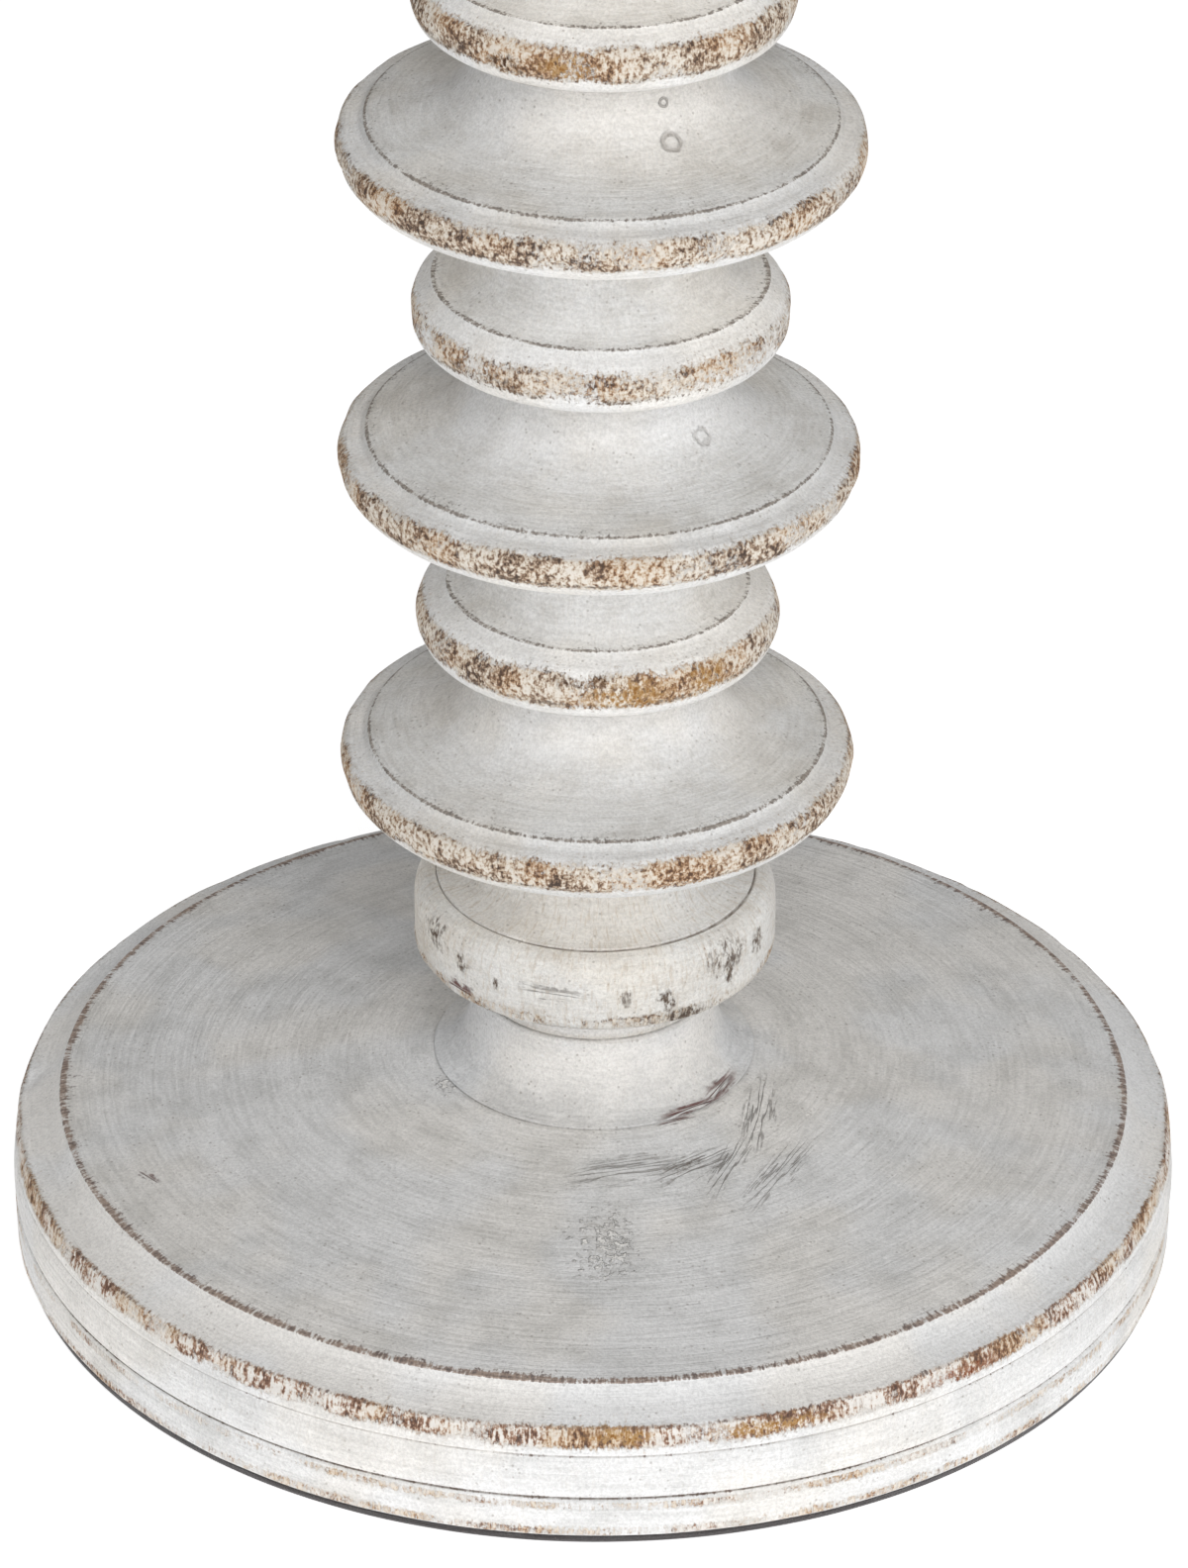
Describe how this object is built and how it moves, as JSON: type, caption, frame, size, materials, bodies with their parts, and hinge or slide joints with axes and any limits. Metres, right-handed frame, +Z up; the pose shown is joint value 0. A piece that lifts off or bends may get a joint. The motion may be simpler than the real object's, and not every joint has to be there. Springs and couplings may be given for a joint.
{
  "type": "wooden candlestick",
  "caption": "Tall turned-wood candlestick in distressed white paint: moulded round base, stacked disc and bead stem, and a dish with a spiked steel pan for a pillar candle.",
  "frame": {"origin": "centre of the felt pad's underside, on the surface that the candlestick stands on", "axes": "+Z up along the stem; the object is turned about Z, so X and Y are free and -Y is called the front"},
  "size_m": [0.1786, 0.1786, 0.3821],
  "materials": {
    "painted_wood": "matt chalk paint rubbed back to brown wood on the edges",
    "black_felt": "black wool felt",
    "zinc_steel": "zinc plated",
    "aged_steel": "dull aged steel"
  },
  "bodies": {
    "root": {"base_plate": "painted_wood", "stem_foot": "painted_wood", "lower_collar": "painted_wood", "stem_disc_1": "painted_wood", "stem_disc_2": "painted_wood", "stem_disc_3": "painted_wood", "stem_disc_4": "painted_wood", "stem_disc_5": "painted_wood", "stem_bead_1": "painted_wood", "stem_bead_2": "painted_wood", "stem_bead_3": "painted_wood", "stem_bead_4": "painted_wood", "upper_collar": "painted_wood", "candle_dish": "painted_wood", "felt_pad": "black_felt", "tie_rod": "zinc_steel", "base_washer": "zinc_steel", "base_nut": "zinc_steel", "top_washer": "zinc_steel", "top_nut": "zinc_steel", "candle_pan": "aged_steel", "candle_spike": "aged_steel"}
  },
  "joints": []
}
